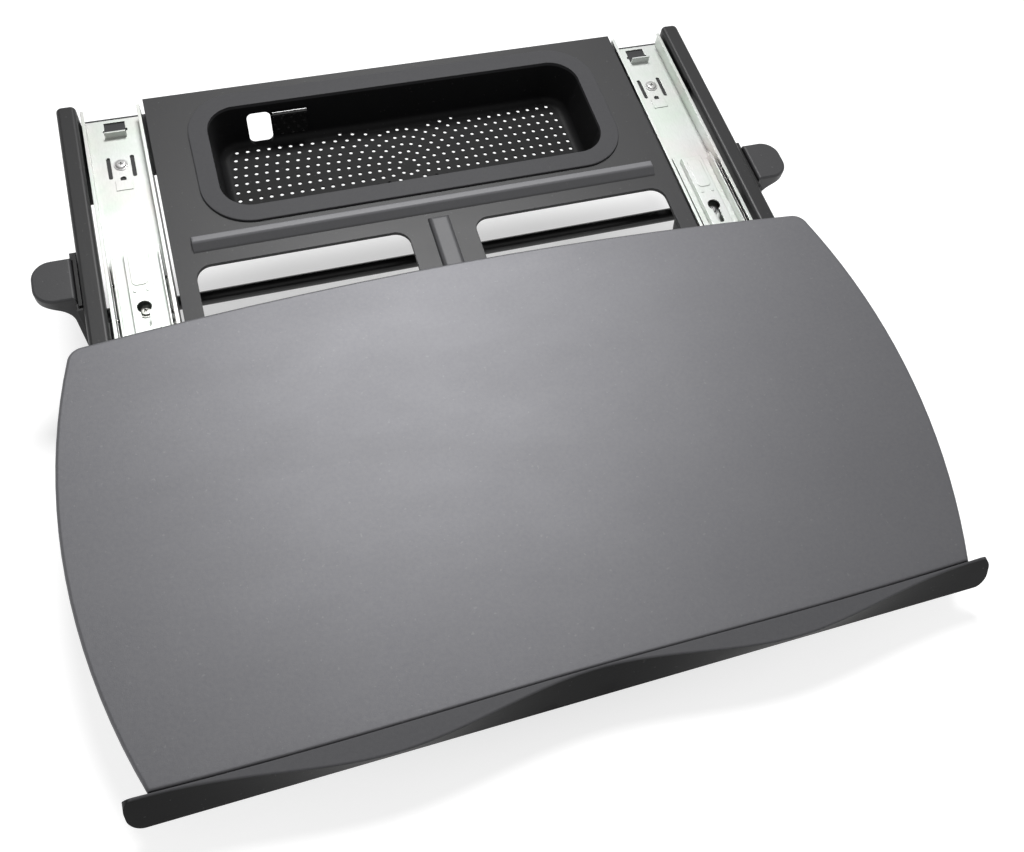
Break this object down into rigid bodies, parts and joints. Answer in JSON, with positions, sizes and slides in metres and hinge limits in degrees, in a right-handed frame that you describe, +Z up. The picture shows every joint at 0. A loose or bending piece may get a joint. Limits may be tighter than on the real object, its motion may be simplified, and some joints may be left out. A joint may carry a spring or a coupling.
{
  "type": "document holder",
  "caption": "Sloping document holder: a wide platform with a wavy front lip rides forward on telescopic ball slides over a panel with a pencil tray, on a stand with paddle-lever height locks.",
  "frame": {"origin": "on the table, at the middle of the bounding box's base", "axes": "+X to the right of a person who faces the lip, +Y to the back, +Z up; the deck slopes down to the front"},
  "size_m": [0.618, 0.5682, 0.1789],
  "materials": {
    "base_plastic": "fine moulded grain",
    "tray_plastic": "fine moulded grain",
    "clip_plastic": "smooth",
    "slide_steel": "zinc plated with a faint passivation tint",
    "cage_steel": "plain sheet",
    "ball_steel": "polished",
    "screw_steel": "zinc plated",
    "platform_plastic": "fine moulded grain",
    "lip_plastic": "satin",
    "black_steel": "semi-gloss black",
    "foot_plastic": "fine moulded grain",
    "lever_plastic": "fine moulded grain",
    "pad_rubber": "matte"
  },
  "bodies": {
    "stand": {"left_post": "black_steel", "right_post": "black_steel", "left_foot": "foot_plastic", "right_foot": "foot_plastic", "foot_pads": "pad_rubber", "cross_tube": "black_steel", "post_screws": "screw_steel", "lever_pins": "screw_steel", "lever_springs": "cage_steel"},
    "base": {"base_panel": "base_plastic", "left_rail": "base_plastic", "right_rail": "base_plastic", "rail_screws": "screw_steel", "pencil_tray": "tray_plastic", "tray_clip": "clip_plastic", "left_slide_outer": "slide_steel", "right_slide_outer": "slide_steel", "slide_screws": "screw_steel"},
    "platform": {"platform_board": "platform_plastic", "front_lip": "lip_plastic", "left_slide_inner": "slide_steel", "right_slide_inner": "slide_steel", "platform_screws": "screw_steel", "lip_screws": "screw_steel"},
    "slide_middles": {"left_slide_middle": "slide_steel", "right_slide_middle": "slide_steel"},
    "outer_cages": {"left_outer_cage": "cage_steel", "right_outer_cage": "cage_steel", "outer_balls": "ball_steel"},
    "inner_cages": {"left_inner_cage": "cage_steel", "right_inner_cage": "cage_steel", "inner_balls": "ball_steel"},
    "left_lever": {"left_lever": "lever_plastic"},
    "right_lever": {"right_lever": "lever_plastic"}
  },
  "joints": [
    {"name": "height_adjust", "type": "slide", "parent": "stand", "child": "base", "axis": [0, -0.2588, 0.9659], "range_m": [0, 0.024]},
    {"name": "platform_slide", "type": "slide", "parent": "base", "child": "platform", "axis": [0, 0.9659, 0.2588], "range_m": [0, 0.231]},
    {"name": "middle_slide", "type": "slide", "parent": "base", "child": "slide_middles", "axis": [0, 0.9659, 0.2588], "range_m": [0, 0.1155]},
    {"name": "outer_cage_slide", "type": "slide", "parent": "base", "child": "outer_cages", "axis": [0, 0.9659, 0.2588], "range_m": [0, 0.05775]},
    {"name": "inner_cage_slide", "type": "slide", "parent": "base", "child": "inner_cages", "axis": [0, 0.9659, 0.2588], "range_m": [0, 0.17325]},
    {"name": "left_lever_swing", "type": "hinge", "parent": "stand", "child": "left_lever", "pos_m": [-0.2825, 0.12674, 0.0629], "axis": [0, -0.9659, -0.2588], "range_deg": [0, 7], "stiffness_Nm_per_rad": 0.8, "springref_deg": -5.73},
    {"name": "right_lever_swing", "type": "hinge", "parent": "stand", "child": "right_lever", "pos_m": [0.2825, 0.12674, 0.0629], "axis": [0, 0.9659, 0.2588], "range_deg": [0, 7], "stiffness_Nm_per_rad": 0.8, "springref_deg": -5.73}
  ],
  "couplings": [
    {"joint": "middle_slide", "follows": "platform_slide", "ratio": 0.5},
    {"joint": "outer_cage_slide", "follows": "platform_slide", "ratio": 0.25},
    {"joint": "inner_cage_slide", "follows": "platform_slide", "ratio": 0.75}
  ]
}
